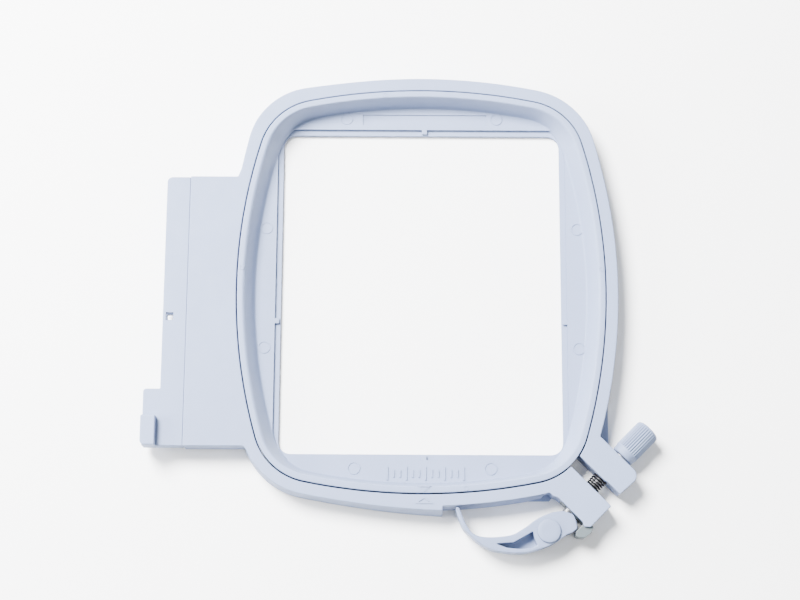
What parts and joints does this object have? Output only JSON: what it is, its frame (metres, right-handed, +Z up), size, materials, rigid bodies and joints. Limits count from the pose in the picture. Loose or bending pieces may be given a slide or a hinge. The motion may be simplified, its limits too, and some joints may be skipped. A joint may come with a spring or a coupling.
{
  "type": "embroidery machine hoop",
  "caption": "Quick-release embroidery hoop: inner hoop inside a split outer hoop, closed by a cam lever and knurled screw, with a rail for the machine's arm.",
  "frame": {"origin": "centre of the sewing field, on the plane the hoop rests on", "axes": "+X away from the machine's arm, +Y to the back, +Z up"},
  "size_m": [0.1611, 0.153, 0.0115],
  "materials": {
    "hoop_plastic": "satin moulded",
    "lever_plastic": "satin moulded",
    "saddle_grey": "satin moulded",
    "steel": "zinc plated",
    "brass": "turned",
    "spring_steel": "black oxide"
  },
  "bodies": {
    "outer_body": {"outer_hoop": "hoop_plastic", "mount_rail": "hoop_plastic", "rail_screws": "steel", "cam_saddle": "saddle_grey", "clamp_spring": "spring_steel"},
    "inner_body": {"inner_hoop": "hoop_plastic"},
    "barrel_body": {"pivot_barrel": "lever_plastic", "pivot_clip": "steel"},
    "lever_body": {"clamp_lever": "lever_plastic"},
    "washer_body": {"knob_washer": "steel"},
    "knob_body": {"knob": "lever_plastic", "knob_insert": "brass", "clamp_screw": "steel"}
  },
  "joints": [
    {"name": "inner_lift", "type": "slide", "parent": "outer_body", "child": "inner_body", "axis": [0, 0, 1], "range_m": [0, 0.025]},
    {"name": "clamp_travel", "type": "slide", "parent": "outer_body", "child": "barrel_body", "axis": [0.7071, 0.7071, 0], "range_m": [0, 0.00115]},
    {"name": "lever_turn", "type": "hinge", "parent": "barrel_body", "child": "lever_body", "pos_m": [0.03853, -0.06692, 0.0045], "axis": [0, 0, 1], "range_deg": [0, 110]},
    {"name": "screw_feed", "type": "slide", "parent": "barrel_body", "child": "washer_body", "axis": [0.7071, 0.7071, 0], "range_m": [0, 0.0015]},
    {"name": "knob_turn", "type": "hinge", "parent": "washer_body", "child": "knob_body", "pos_m": [0.06561, -0.03984, 0.0048], "axis": [0.7071, 0.7071, 0], "range_deg": [0, 1080]}
  ],
  "couplings": [
    {"joint": "lever_turn", "follows": "clamp_travel", "rad_per_m": 1666.7},
    {"joint": "knob_turn", "follows": "screw_feed", "rad_per_m": 12566}
  ]
}
